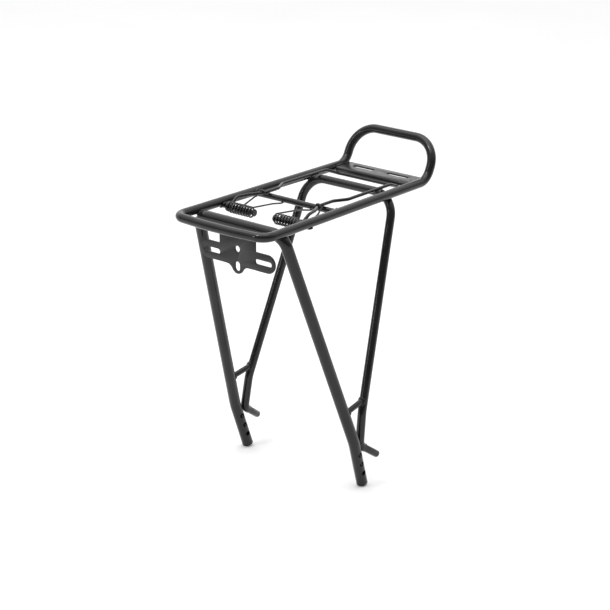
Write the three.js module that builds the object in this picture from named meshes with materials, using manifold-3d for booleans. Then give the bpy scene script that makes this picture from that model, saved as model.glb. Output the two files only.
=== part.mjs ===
// Rear carrier for a bicycle: a welded tubular steel frame with a sprung luggage clip.
//
// Units are millimetres. +X points forward to the raised hoop, +Y to the rack's left side, +Z up.
// The origin is midway between the two feet, at the height of their middle bolt holes, where the
// rack is bolted to the bicycle. The dimensions below give lengths from the platform's rear end and
// heights from the centre line of its rails; place() turns both into the rack's own frame.
//
// Meshes that are welded or touching on the real rack keep a gap of about 0.3 mm.

import * as THREE from 'three';
import { mergeVertices } from 'three/addons/utils/BufferGeometryUtils.js';
import Module from 'manifold-3d';

const wasm = await Module();
wasm.setup();

// ---------------------------------------------------------------- driving dimensions

const GAP = 0.3;                   // clearance between pieces that touch

// platform tube: rear bar, two rails and the raised front hoop, bent from one tube
const RAIL_RADIUS = 5.5;
const RAIL_REAR_HALF_WIDTH = 68.6; // centre line to mid-plane, at the rear
const RAIL_FRONT_HALF_WIDTH = 63.4; // and where the hoop starts
const RAIL_LENGTH = 306;           // rear bar to the corner where the rails turn up
const REAR_BULGE = 4;              // how far the rear bar bows out at the mid-plane
const REAR_BULGE_HALF_WIDTH = 22;  // the bar's bow starts this far from the mid-plane
const REAR_BULGE_RADIUS = 120;
const REAR_CORNER_RADIUS = 15;
const HOOP_BASE_RADIUS = 21;
const HOOP_SLOPE = 64;             // degrees from the horizontal
const HOOP_HEIGHT = 45;          // rails to the hoop's top bar, centre to centre
const HOOP_CORNER_RADIUS = 33;

// rear leg tube: an inverted U welded under the rails, with three bolt holes in each foot
const REAR_LEG_RADIUS = 6.9;
const REAR_LEG_TOP = { x: 38.8, y: 64.6, z: -5.4 };
const REAR_LEG_KNEE = { x: 130.7, y: 95.5, z: -280 };
const REAR_LEG_FOOT = { x: 149.6, y: 92.75, z: -336.9 };
const REAR_LEG_SHOULDER_RADIUS = 18;
const REAR_LEG_KNEE_RADIUS = 60;
const FOOT_HOLE_DIAMETER = 6.5;
const FOOT_HOLE_PITCH = 14;
const FOOT_HOLE_COUNT = 3;
const LAST_HOLE_FROM_END = 15.7;    // lowest hole to the foot's end, along the leg

// front leg tube: a thinner inverted U that comes down to the rear legs
const FRONT_LEG_RADIUS = 5.3;
const FRONT_LEG_TOP = { x: 238, y: 66.6, z: -2.4 };
const FRONT_LEG_KNEE = { x: 151.5, y: 90.6, z: -247 };
const FRONT_LEG_END = { x: 145, y: 92.6, z: -287.8 };
const FRONT_LEG_SHOULDER_RADIUS = 30;
const FRONT_LEG_KNEE_RADIUS = 60;
const FRONT_LEG_TAIL = 9;          // the tube's last stretch, past its forward bend
const FRONT_LEG_TAIL_RADIUS = 10;

// strap pegs, braces and cross bar
const PEG_RADIUS = 4.5;
const PEG_DOME = 3;
const PEG_TIP = { x: 173.8, y: 96.6, z: -308 };
const BRACE_RADIUS = 3.5;
const BRACE_REAR_HEIGHT = -240;
const BRACE_FRONT_HEIGHT = -233;
const CROSSBAR_RADIUS = 3.6;
const CROSSBAR_X = 137.5;
const CROSSBAR_Z = -1.2;

// front plate between the rails, with a turned-down rear lip
const PLATE_THICKNESS = 2;
const PLATE_TOP_Z = 2;
const PLATE_REAR_X = 279.5;
const PLATE_FRONT_X = 309;
const PLATE_LIP_DEPTH = 6;
const PLATE_BEND_RADIUS = 3;
const PLATE_SLOT_WIDTH = 6.5;
const PLATE_SLOT_INNER_Y = 10;
const PLATE_SLOT_OUTER_Y = 42.5;
const PLATE_SLOT_X = 297;

// rear light bracket, a flat plate hung from the rear leg tube's cross part
const BRACKET_THICKNESS = 2;
const BRACKET_BACK_X = 33.4;
const BRACKET_TOP_Z = -12.4;
const BRACKET_BLOCK_HALF_WIDTH = 27.5;
const BRACKET_WING_HALF_WIDTH = 57;
const BRACKET_SLOT_Z = -41.8;
const BRACKET_WING_HEIGHT = 22;
const BRACKET_SLOT_HEIGHT = 6;
const BRACKET_SLOT_INNER_Y = 27;
const BRACKET_SLOT_OUTER_Y = 52;
const BRACKET_HOLE_DIAMETER = 7.5;
const BRACKET_HOLE_Z = -32.8;
const BRACKET_TONGUE_RADIUS = 9;
const BRACKET_TONGUE_Z = -53.7;
const BRACKET_FILLET_RADIUS = 10;   // between the wings and the tongue
const BRACKET_KEYHOLE_WIDTH = 7.5;
const BRACKET_KEYHOLE_HEIGHT = 11.5;

// spring clip: one bent wire whose rear eyes turn on two pins welded inside the rails
const CLIP_WIRE_RADIUS = 2;
const CLIP_AXIS_X = 81;
const CLIP_AXIS_Z = -4;
const CLIP_ARM_Z = 4.9;
const CLIP_ARM_CORNERS = [         // from the eye forward, y from the mid-plane
  { x: 95, y: 55, z: CLIP_ARM_Z, radius: 8 },
  { x: 110, y: 51, z: CLIP_ARM_Z, radius: 12 },
  { x: 128, y: 42, z: CLIP_ARM_Z, radius: 12 },
  { x: 154, y: 42, z: CLIP_ARM_Z, radius: 12 },
  { x: 171, y: 51, z: CLIP_ARM_Z, radius: 12 },
  { x: 252, y: 50, z: CLIP_ARM_Z, radius: 20 },
  { x: 273.5, y: 47, z: -3.5, radius: 8 },
];
const EYE_RADIUS = 6;
const EYE_THICKNESS = 4;
const EYE_Y = 55;
const PIN_RADIUS = 3;
const PIN_INNER_Y = 15;
const PIN_HEAD_RADIUS = 4.4;
const PIN_HEAD_THICKNESS = 1.5;

// torsion springs, wound round the pins
const SPRING_WIRE_RADIUS = 1.05;
const SPRING_MEAN_RADIUS = 5.9;
const SPRING_INNER_Y = 18.5;
const SPRING_OUTER_Y = 50.5;
const SPRING_TURNS = 7.5;
const SPRING_LEG_GAP = 0.8;        // the bar leg's wire to the cross bar
const SPRING_HOOK_GAP = 0.6;       // the hook's wire to the clip's arm
const SPRING_BAR_Z = CROSSBAR_Z - CROSSBAR_RADIUS - SPRING_WIRE_RADIUS - SPRING_LEG_GAP;
const SPRING_HOOK_Z = CLIP_ARM_Z + CLIP_WIRE_RADIUS + SPRING_WIRE_RADIUS + SPRING_HOOK_GAP;
const SPRING_BAR_LEG = [           // from its free end back to the coil
  { x: 147, y: 23.5, z: SPRING_BAR_Z + 0.4 },
  { x: 137, y: 22, z: SPRING_BAR_Z },
  { x: 118, y: 19.5, z: -2 },
  { x: 86, y: SPRING_INNER_Y, z: CLIP_AXIS_Z + SPRING_MEAN_RADIUS },
];
const SPRING_HOOK_LEG = [          // from the coil to its hook over the clip's arm
  { x: 100, y: 50, z: -6 },
  { x: 116, y: 50.5, z: -1.5 },
  { x: 124, y: 48.5, z: 3 },
  { x: 126, y: 47, z: SPRING_HOOK_Z - 1.6 },
  { x: 126, y: 43.5, z: SPRING_HOOK_Z },
  { x: 126, y: 40, z: SPRING_HOOK_Z - 1.2 },
];

// foot plugs
const PLUG_HEAD_THICKNESS = 2.5;
const PLUG_EDGE = 1.1;

// section sides and bend fineness
const TUBE_SIDES = 12;
const WIRE_SIDES = 8;
const SPRING_SIDES = 6;
const EYE_SIDES = 16;
const ARC_STEPS = 6;
const SPRING_STEPS_PER_TURN = 12;
const DEGREES_PER_STEP = 15;
const JOIN_OVERLAP = 0.5;          // how far mirrored halves run past the mid-plane

// ---------------------------------------------------------------- frame and small helpers

const SPAN_TO_KNEE = Math.hypot(
  REAR_LEG_KNEE.x - REAR_LEG_FOOT.x,
  REAR_LEG_KNEE.y - REAR_LEG_FOOT.y,
  REAR_LEG_KNEE.z - REAR_LEG_FOOT.z,
);
const MIDDLE_HOLE_SHARE = (LAST_HOLE_FROM_END + FOOT_HOLE_PITCH) / SPAN_TO_KNEE;
const ORIGIN_X = THREE.MathUtils.lerp(REAR_LEG_FOOT.x, REAR_LEG_KNEE.x, MIDDLE_HOLE_SHARE);
const ORIGIN_Z = THREE.MathUtils.lerp(REAR_LEG_FOOT.z, REAR_LEG_KNEE.z, MIDDLE_HOLE_SHARE);

const SIDES = [
  { name: 'left', sign: 1 },
  { name: 'right', sign: -1 },
];

function radians(degrees) {
  return degrees * Math.PI / 180;
}

// A point given from the rear end, the mid-plane and the rails, in the rack's own frame.
function place(x, y, z) {
  return new THREE.Vector3(x - ORIGIN_X, y, z - ORIGIN_Z);
}

function placeOnSide(spot, sign) {
  return place(spot.x, sign * spot.y, spot.z);
}

// Distance from the mid-plane to a rail's centre line, at a length along the platform.
function railHalfWidth(x) {
  const t = x / RAIL_LENGTH;
  return THREE.MathUtils.lerp(RAIL_REAR_HALF_WIDTH, RAIL_FRONT_HALF_WIDTH, t);
}

// The point at height z on the line from start to end.
function pointAtHeight(start, end, z) {
  return start.clone().lerp(end, (z - start.z) / (end.z - start.z));
}

// ---------------------------------------------------------------- bent tube path

// A path given by its stations, each a point with the path's direction there.
class StationPath extends THREE.Curve {
  constructor() {
    super();
    this.stations = [];
  }

  addStation(point, direction) {
    this.stations.push({ point: point.clone(), tangent: direction.clone().normalize() });
  }

  get steps() {
    return this.stations.length - 1;
  }

  stationNear(t) {
    return this.stations[Math.round(t * this.steps)];
  }

  getPoint(t) {
    return this.stationNear(t).point.clone();
  }

  getPointAt(t) {
    return this.getPoint(t);
  }

  getTangent(t) {
    return this.stationNear(t).tangent.clone();
  }

  getTangentAt(t) {
    return this.getTangent(t);
  }
}

// A run of straight stretches joined by round bends, with one station at each end of a stretch and
// evenly spaced stations round each bend.
class BentPath extends StationPath {
  constructor(corners, radii) {
    super();
    const last = corners.length - 1;
    this.addStation(corners[0], corners[1].clone().sub(corners[0]));
    for (let i = 1; i < last; i += 1) {
      this.addBend(corners[i - 1], corners[i], corners[i + 1], radii[i - 1]);
    }
    this.addStation(corners[last], corners[last].clone().sub(corners[last - 1]));
  }

  addBend(before, corner, after, radius) {
    const incoming = corner.clone().sub(before).normalize();
    const outgoing = after.clone().sub(corner).normalize();
    const turn = incoming.angleTo(outgoing);
    const setback = radius * Math.tan(turn / 2);
    const start = corner.clone().addScaledVector(incoming, -setback);
    const axis = incoming.clone().cross(outgoing).normalize();
    const toCentre = axis.clone().cross(incoming);
    const centre = start.clone().addScaledVector(toCentre, radius);
    const steps = Math.max(2, Math.ceil(THREE.MathUtils.radToDeg(turn) / DEGREES_PER_STEP));
    for (let i = 0; i <= steps; i += 1) {
      const angle = turn * i / steps;
      const arm = start.clone().sub(centre).applyAxisAngle(axis, angle);
      this.addStation(centre.clone().add(arm), incoming.clone().applyAxisAngle(axis, angle));
    }
  }
}

// A helix about a line parallel to Y, with straight legs added before and after it.
class SpringPath extends StationPath {
  constructor(spring) {
    super();
    this.addLeg(spring.firstLeg);
    this.addCoil(spring);
    this.addLeg(spring.lastLeg);
    this.setTangents();
  }

  addLeg(points) {
    for (const point of points) {
      this.addStation(point, new THREE.Vector3(1, 0, 0));
    }
  }

  addCoil({ centre, radius, startY, endY, startAngle, turns }) {
    const steps = Math.round(turns * SPRING_STEPS_PER_TURN);
    for (let i = 0; i <= steps; i += 1) {
      const angle = startAngle + 2 * Math.PI * turns * i / steps;
      const y = THREE.MathUtils.lerp(startY, endY, i / steps);
      const point = new THREE.Vector3(radius * Math.cos(angle), y, radius * Math.sin(angle));
      point.x += centre.x;
      point.z += centre.z;
      this.addStation(point, new THREE.Vector3(1, 0, 0));
    }
  }

  setTangents() {
    const last = this.steps;
    for (let i = 0; i <= last; i += 1) {
      const before = this.stations[Math.max(0, i - 1)].point;
      const after = this.stations[Math.min(last, i + 1)].point;
      this.stations[i].tangent = after.clone().sub(before).normalize();
    }
  }
}

// ---------------------------------------------------------------- geometry helpers

function circleShape(radius, sides) {
  const points = [];
  for (let i = 0; i < sides; i += 1) {
    const angle = 2 * Math.PI * (i + 0.5) / sides;
    points.push(new THREE.Vector2(radius * Math.cos(angle), radius * Math.sin(angle)));
  }
  return new THREE.Shape(points);
}

function sweep(path, radius, sides) {
  return new THREE.ExtrudeGeometry(circleShape(radius, sides), {
    steps: path.steps,
    extrudePath: path,
    curveSegments: sides,
  });
}

// A straight round bar between two points.
function bar(start, end, radius, sides) {
  return sweep(new BentPath([start, end], []), radius, sides);
}

// A flat plate: its outline lies in the Y-Z plane, and it is thick along +X from backX.
function uprightPlate(shape, thickness, backX) {
  const geometry = new THREE.ExtrudeGeometry(shape, {
    depth: thickness,
    bevelEnabled: false,
    curveSegments: ARC_STEPS,
  });
  geometry.rotateX(Math.PI / 2);
  geometry.rotateZ(Math.PI / 2);
  geometry.translate(backX, 0, 0);
  return geometry;
}

function toSolid(geometry) {
  const bare = geometry.clone();
  bare.deleteAttribute('normal');
  bare.deleteAttribute('uv');
  const merged = mergeVertices(bare, 1e-4);
  return new wasm.Manifold(new wasm.Mesh({
    numProp: 3,
    vertProperties: new Float32Array(merged.attributes.position.array),
    triVerts: new Uint32Array(merged.index.array),
  }));
}

function toGeometry(solid) {
  const mesh = solid.getMesh();
  const geometry = new THREE.BufferGeometry();
  geometry.setAttribute('position', new THREE.BufferAttribute(mesh.vertProperties, 3));
  geometry.setIndex(new THREE.BufferAttribute(mesh.triVerts, 1));
  geometry.computeVertexNormals();
  return geometry;
}

function join(...geometries) {
  return toGeometry(geometries.map(toSolid).reduce((whole, part) => whole.add(part)));
}

function cut(geometry, ...tools) {
  return toGeometry(tools.map(toSolid).reduce((whole, tool) => whole.subtract(tool), toSolid(geometry)));
}

// ---------------------------------------------------------------- materials

function blackPaint() {
  return new THREE.MeshStandardMaterial({ color: 0x17171a, roughness: 0.3, metalness: 0.35 });
}

function springSteel() {
  return new THREE.MeshStandardMaterial({ color: 0x2b2b2e, roughness: 0.32, metalness: 0.75 });
}

function blackPlastic() {
  return new THREE.MeshStandardMaterial({ color: 0x1c1c1d, roughness: 0.55, metalness: 0 });
}

function addPiece(group, name, geometry, material) {
  const mesh = new THREE.Mesh(geometry, material);
  mesh.name = name;
  group.add(mesh);
}

// ---------------------------------------------------------------- frame tubes

// Half of the platform tube, running past the mid-plane at both ends by a small overlap.
function platformHalf(sign) {
  const slope = radians(HOOP_SLOPE);
  const hoopRun = HOOP_HEIGHT / Math.tan(slope);
  const frontY = sign * RAIL_FRONT_HALF_WIDTH;
  const corners = [
    place(0, -sign * JOIN_OVERLAP, 0),
    place(0, sign * REAR_BULGE_HALF_WIDTH, 0),
    place(REAR_BULGE, sign * RAIL_REAR_HALF_WIDTH, 0),
    place(RAIL_LENGTH, frontY, 0),
    place(RAIL_LENGTH + hoopRun, frontY, HOOP_HEIGHT),
    place(RAIL_LENGTH + hoopRun, -sign * JOIN_OVERLAP, HOOP_HEIGHT),
  ];
  const radii = [
    REAR_BULGE_RADIUS,
    REAR_CORNER_RADIUS,
    HOOP_BASE_RADIUS,
    HOOP_CORNER_RADIUS,
  ];
  return new BentPath(corners, radii);
}

function platformTube() {
  const halves = SIDES.map((side) => sweep(platformHalf(side.sign), RAIL_RADIUS, TUBE_SIDES));
  return join(...halves);
}

function rearLegCorners(sign) {
  return [REAR_LEG_FOOT, REAR_LEG_KNEE, REAR_LEG_TOP].map((spot) => placeOnSide(spot, sign));
}

function footHole(sign, fromEnd) {
  const [foot, knee] = rearLegCorners(sign);
  const along = knee.clone().sub(foot).normalize();
  const centre = foot.clone().addScaledVector(along, fromEnd);
  const reach = new THREE.Vector3(0, 2 * REAR_LEG_RADIUS, 0);
  return bar(centre.clone().sub(reach), centre.clone().add(reach), FOOT_HOLE_DIAMETER / 2, TUBE_SIDES);
}

function rearLegTube() {
  const corners = [...rearLegCorners(1), ...rearLegCorners(-1).reverse()];
  const radii = [
    REAR_LEG_KNEE_RADIUS,
    REAR_LEG_SHOULDER_RADIUS,
    REAR_LEG_SHOULDER_RADIUS,
    REAR_LEG_KNEE_RADIUS,
  ];
  const holes = [];
  for (const { sign } of SIDES) {
    for (let i = 0; i < FOOT_HOLE_COUNT; i += 1) {
      holes.push(footHole(sign, LAST_HOLE_FROM_END + i * FOOT_HOLE_PITCH));
    }
  }
  return cut(sweep(new BentPath(corners, radii), REAR_LEG_RADIUS, TUBE_SIDES), ...holes);
}

// The corners of one side of the front leg tube, from its tail up to the shoulder.
function frontLegCorners(sign) {
  const end = placeOnSide(FRONT_LEG_END, sign);
  const toPeg = placeOnSide(PEG_TIP, sign).sub(end).normalize();
  const tail = end.clone().addScaledVector(toPeg, FRONT_LEG_TAIL);
  return [tail, end, placeOnSide(FRONT_LEG_KNEE, sign), placeOnSide(FRONT_LEG_TOP, sign)];
}

function frontLegTube() {
  const corners = [...frontLegCorners(1), ...frontLegCorners(-1).reverse()];
  const half = [FRONT_LEG_TAIL_RADIUS, FRONT_LEG_KNEE_RADIUS, FRONT_LEG_SHOULDER_RADIUS];
  return sweep(new BentPath(corners, [...half, ...half.reverse()]), FRONT_LEG_RADIUS, TUBE_SIDES);
}

function crossbar() {
  const halfLength = railHalfWidth(CROSSBAR_X) - RAIL_RADIUS - GAP;
  const left = place(CROSSBAR_X, halfLength, CROSSBAR_Z);
  const right = place(CROSSBAR_X, -halfLength, CROSSBAR_Z);
  return bar(left, right, CROSSBAR_RADIUS, TUBE_SIDES);
}

// A short rod between the centre lines of the rear and front legs, cut back just clear of both.
function lowerBrace(sign) {
  const [, rearKnee, rearTop] = rearLegCorners(sign);
  const frontKnee = placeOnSide(FRONT_LEG_KNEE, sign);
  const frontTop = placeOnSide(FRONT_LEG_TOP, sign);
  const rear = pointAtHeight(rearKnee, rearTop, BRACE_REAR_HEIGHT - ORIGIN_Z);
  const front = pointAtHeight(frontKnee, frontTop, BRACE_FRONT_HEIGHT - ORIGIN_Z);
  return cut(bar(rear, front, BRACE_RADIUS, TUBE_SIDES), ...legCutters(sign));
}

// The rear and front leg tubes made thicker by the gap, to cut the brace that is welded to them.
function legCutters(sign) {
  const rear = new BentPath(rearLegCorners(sign), [REAR_LEG_KNEE_RADIUS]);
  const front = new BentPath(frontLegCorners(sign), [FRONT_LEG_TAIL_RADIUS, FRONT_LEG_KNEE_RADIUS]);
  return [
    sweep(rear, REAR_LEG_RADIUS + GAP, TUBE_SIDES),
    sweep(front, FRONT_LEG_RADIUS + GAP, TUBE_SIDES),
  ];
}

// A solid turned round a line: its profile gives radius and distance along the line from start.
function turned(profile, start, direction) {
  const points = profile.map(([radius, distance]) => new THREE.Vector2(radius, distance));
  const geometry = new THREE.LatheGeometry(points, TUBE_SIDES);
  const up = new THREE.Vector3(0, 1, 0);
  geometry.applyQuaternion(new THREE.Quaternion().setFromUnitVectors(up, direction));
  geometry.translate(start.x, start.y, start.z);
  return geometry;
}

// A round peg with a domed tip that carries on from the front leg's tail.
function strapPeg(sign) {
  const [tail, end] = frontLegCorners(sign);
  const along = tail.clone().sub(end).normalize();
  const start = tail.clone().addScaledVector(along, GAP);
  const length = placeOnSide(PEG_TIP, sign).distanceTo(start);
  const profile = [
    [0, 0],
    [PEG_RADIUS, 0],
    [PEG_RADIUS, length - PEG_DOME],
    [PEG_RADIUS * 0.8, length - PEG_DOME * 0.35],
    [0, length],
  ];
  return turned(profile, start, along);
}

// A moulded plug that closes the end of a foot.
function footPlug(sign) {
  const [foot, knee] = rearLegCorners(sign);
  const along = foot.clone().sub(knee).normalize();
  const start = foot.clone().addScaledVector(along, GAP);
  const height = PLUG_HEAD_THICKNESS - GAP;
  const profile = [
    [0, 0],
    [REAR_LEG_RADIUS, 0],
    [REAR_LEG_RADIUS, height - PLUG_EDGE],
    [REAR_LEG_RADIUS - PLUG_EDGE, height],
    [0, height],
  ];
  return turned(profile, start, along);
}

// ---------------------------------------------------------------- plates

// The plate's side view: flat on top, with a rounded bend into the rear lip.
function frontPlate() {
  const halfWidth = RAIL_FRONT_HALF_WIDTH - RAIL_RADIUS - GAP;
  const inner = PLATE_BEND_RADIUS - PLATE_THICKNESS;
  const bendX = PLATE_REAR_X + PLATE_BEND_RADIUS;
  const bendZ = PLATE_TOP_Z - PLATE_BEND_RADIUS;
  const side = new THREE.Shape();
  side.moveTo(PLATE_FRONT_X, PLATE_TOP_Z);
  side.lineTo(bendX, PLATE_TOP_Z);
  side.absarc(bendX, bendZ, PLATE_BEND_RADIUS, Math.PI / 2, Math.PI, false);
  side.lineTo(PLATE_REAR_X, PLATE_TOP_Z - PLATE_LIP_DEPTH);
  side.lineTo(PLATE_REAR_X + PLATE_THICKNESS, PLATE_TOP_Z - PLATE_LIP_DEPTH);
  side.lineTo(PLATE_REAR_X + PLATE_THICKNESS, bendZ);
  side.absarc(bendX, bendZ, inner, Math.PI, Math.PI / 2, true);
  side.lineTo(PLATE_FRONT_X, PLATE_TOP_Z - PLATE_THICKNESS);
  const geometry = new THREE.ExtrudeGeometry(side, {
    depth: 2 * halfWidth,
    bevelEnabled: false,
    curveSegments: ARC_STEPS,
  });
  geometry.rotateX(Math.PI / 2);
  geometry.translate(0, halfWidth, 0);
  const slots = SIDES.map(({ sign }) => plateSlot(sign));
  const plate = cut(geometry, ...slots);
  const origin = place(0, 0, 0);
  plate.translate(origin.x, origin.y, origin.z);
  return plate;
}

// The tool that cuts one long slot through the front plate.
function plateSlot(sign) {
  const radius = PLATE_SLOT_WIDTH / 2;
  const shape = new THREE.Shape();
  shape.absarc(PLATE_SLOT_X, PLATE_SLOT_OUTER_Y - radius, radius, 0, Math.PI, false);
  shape.absarc(PLATE_SLOT_X, PLATE_SLOT_INNER_Y + radius, radius, Math.PI, 2 * Math.PI, false);
  const height = 4 * PLATE_THICKNESS;
  const geometry = new THREE.ExtrudeGeometry(shape, {
    depth: height,
    bevelEnabled: false,
    curveSegments: ARC_STEPS,
  });
  geometry.translate(0, 0, PLATE_TOP_Z - PLATE_THICKNESS / 2 - height / 2);
  if (sign < 0) {
    geometry.rotateX(Math.PI);
    geometry.translate(0, 0, 2 * PLATE_TOP_Z - PLATE_THICKNESS);
  }
  return geometry;
}

// The bracket's outline: a block that hangs from the leg tube, a round-ended wing on each side and a
// tongue below, joined to the wings by fillets.
function rearBracketShape() {
  const block = BRACKET_BLOCK_HALF_WIDTH;
  const endRadius = BRACKET_WING_HEIGHT / 2;
  const endY = BRACKET_WING_HALF_WIDTH - endRadius;
  const wingTop = BRACKET_SLOT_Z + endRadius;
  const wingBottom = BRACKET_SLOT_Z - endRadius;
  const fillet = BRACKET_FILLET_RADIUS;
  const filletZ = wingBottom - fillet;
  const drop = BRACKET_TONGUE_Z - filletZ;
  const filletY = Math.sqrt((BRACKET_TONGUE_RADIUS + fillet) ** 2 - drop ** 2);
  const touch = Math.atan2(drop, filletY);
  const quarter = Math.PI / 2;
  const shape = new THREE.Shape();
  shape.moveTo(-block, BRACKET_TOP_Z);
  shape.lineTo(-block, wingTop);
  shape.absarc(-endY, BRACKET_SLOT_Z, endRadius, quarter, 3 * quarter, false);
  shape.absarc(-filletY, filletZ, fillet, quarter, touch, true);
  shape.absarc(0, BRACKET_TONGUE_Z, BRACKET_TONGUE_RADIUS, Math.PI + touch, 2 * Math.PI - touch, false);
  shape.absarc(filletY, filletZ, fillet, Math.PI - touch, quarter, true);
  shape.absarc(endY, BRACKET_SLOT_Z, endRadius, -quarter, quarter, false);
  shape.lineTo(block, wingTop);
  shape.lineTo(block, BRACKET_TOP_Z);
  return shape;
}

function bracketSlot(sign) {
  const radius = BRACKET_SLOT_HEIGHT / 2;
  const slot = new THREE.Path();
  const far = BRACKET_SLOT_OUTER_Y - radius;
  const near = BRACKET_SLOT_INNER_Y + radius;
  const low = sign > 0 ? near : -far;
  const high = sign > 0 ? far : -near;
  slot.absarc(high, BRACKET_SLOT_Z, radius, -Math.PI / 2, Math.PI / 2, false);
  slot.absarc(low, BRACKET_SLOT_Z, radius, Math.PI / 2, 3 * Math.PI / 2, false);
  return slot;
}

function bracketKeyhole() {
  const radius = BRACKET_KEYHOLE_WIDTH / 2;
  const reach = BRACKET_KEYHOLE_HEIGHT / 2 - radius;
  const keyhole = new THREE.Path();
  keyhole.absarc(0, BRACKET_TONGUE_Z + reach, radius, 0, Math.PI, false);
  keyhole.absarc(0, BRACKET_TONGUE_Z - reach, radius, Math.PI, 2 * Math.PI, false);
  return keyhole;
}

function rearBracket() {
  const shape = rearBracketShape();
  const hole = new THREE.Path();
  hole.absarc(0, BRACKET_HOLE_Z, BRACKET_HOLE_DIAMETER / 2, 0, 2 * Math.PI, false);
  shape.holes.push(hole, bracketKeyhole(), bracketSlot(1), bracketSlot(-1));
  const geometry = uprightPlate(shape, BRACKET_THICKNESS, BRACKET_BACK_X);
  const origin = place(0, 0, 0);
  geometry.translate(origin.x, origin.y, origin.z);
  return geometry;
}

// ---------------------------------------------------------------- spring clip

function clipArmCorners(sign) {
  const eye = place(CLIP_AXIS_X, sign * EYE_Y, CLIP_AXIS_Z);
  return [eye, ...CLIP_ARM_CORNERS.map((corner) => placeOnSide(corner, sign))];
}

function clipWire() {
  const corners = [...clipArmCorners(1), ...clipArmCorners(-1).reverse()];
  const arm = CLIP_ARM_CORNERS.map((corner) => corner.radius);
  return sweep(new BentPath(corners, [...arm, ...arm.reverse()]), CLIP_WIRE_RADIUS, WIRE_SIDES);
}

// The flattened eye at the end of an arm.
function clipEye(sign) {
  const from = place(CLIP_AXIS_X, sign * EYE_Y - EYE_THICKNESS / 2, CLIP_AXIS_Z);
  const to = place(CLIP_AXIS_X, sign * EYE_Y + EYE_THICKNESS / 2, CLIP_AXIS_Z);
  return bar(from, to, EYE_RADIUS, EYE_SIDES);
}

function eyeBore(sign) {
  const from = place(CLIP_AXIS_X, sign * EYE_Y - EYE_THICKNESS, CLIP_AXIS_Z);
  const to = place(CLIP_AXIS_X, sign * EYE_Y + EYE_THICKNESS, CLIP_AXIS_Z);
  return bar(from, to, PIN_RADIUS + GAP, EYE_SIDES);
}

function clipBail() {
  const whole = join(clipWire(), clipEye(1), clipEye(-1));
  return cut(whole, eyeBore(1), eyeBore(-1));
}

// A pin welded to the inside of a rail, with a small head that keeps the spring on.
function pivotPin(sign) {
  const outerY = railHalfWidth(CLIP_AXIS_X) - RAIL_RADIUS - GAP;
  const outer = place(CLIP_AXIS_X, sign * outerY, CLIP_AXIS_Z);
  const inner = place(CLIP_AXIS_X, sign * PIN_INNER_Y, CLIP_AXIS_Z);
  const headEnd = place(CLIP_AXIS_X, sign * (PIN_INNER_Y + PIN_HEAD_THICKNESS), CLIP_AXIS_Z);
  const shank = bar(outer, inner, PIN_RADIUS, TUBE_SIDES);
  return join(shank, bar(headEnd, inner, PIN_HEAD_RADIUS, TUBE_SIDES));
}

// One wire: a hook over the clip's arm, the coil, and a leg that bears up under the cross bar.
function torsionSpring(sign) {
  const path = new SpringPath({
    centre: place(CLIP_AXIS_X, 0, CLIP_AXIS_Z),
    radius: SPRING_MEAN_RADIUS,
    startY: sign * SPRING_INNER_Y,
    endY: sign * SPRING_OUTER_Y,
    startAngle: Math.PI / 2,
    turns: SPRING_TURNS,
    firstLeg: SPRING_BAR_LEG.map((spot) => placeOnSide(spot, sign)),
    lastLeg: SPRING_HOOK_LEG.map((spot) => placeOnSide(spot, sign)),
  });
  return sweep(path, SPRING_WIRE_RADIUS, SPRING_SIDES);
}

// ---------------------------------------------------------------- assembly

const rack = new THREE.Group();

addPiece(rack, 'platform_tube', platformTube(), blackPaint());
addPiece(rack, 'rear_leg_tube', rearLegTube(), blackPaint());
addPiece(rack, 'front_leg_tube', frontLegTube(), blackPaint());
addPiece(rack, 'middle_crossbar', crossbar(), blackPaint());
addPiece(rack, 'front_plate', frontPlate(), blackPaint());
addPiece(rack, 'rear_light_bracket', rearBracket(), blackPaint());

for (const { name, sign } of SIDES) {
  addPiece(rack, `${name}_lower_brace`, lowerBrace(sign), blackPaint());
  addPiece(rack, `${name}_strap_peg`, strapPeg(sign), blackPaint());
  addPiece(rack, `${name}_foot_plug`, footPlug(sign), blackPlastic());
  addPiece(rack, `${name}_pivot_pin`, pivotPin(sign), blackPaint());
  addPiece(rack, `${name}_torsion_spring`, torsionSpring(sign), springSteel());
}

addPiece(rack, 'clip_bail', clipBail(), blackPaint());

export default rack;
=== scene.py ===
"""The looks of a bicycle's rear carrier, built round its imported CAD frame.

Sizes are in millimetres. Places are given as the CAD gives them: x from the platform's rear end, y
from the mid-plane and z from the centre line of the rails. place() turns them into metres in the
rack's own frame, where +X points forward, +Y to the rack's left and +Z up.
"""

import math

import bmesh
import bpy
import numpy as np
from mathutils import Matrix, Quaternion, Vector


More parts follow.
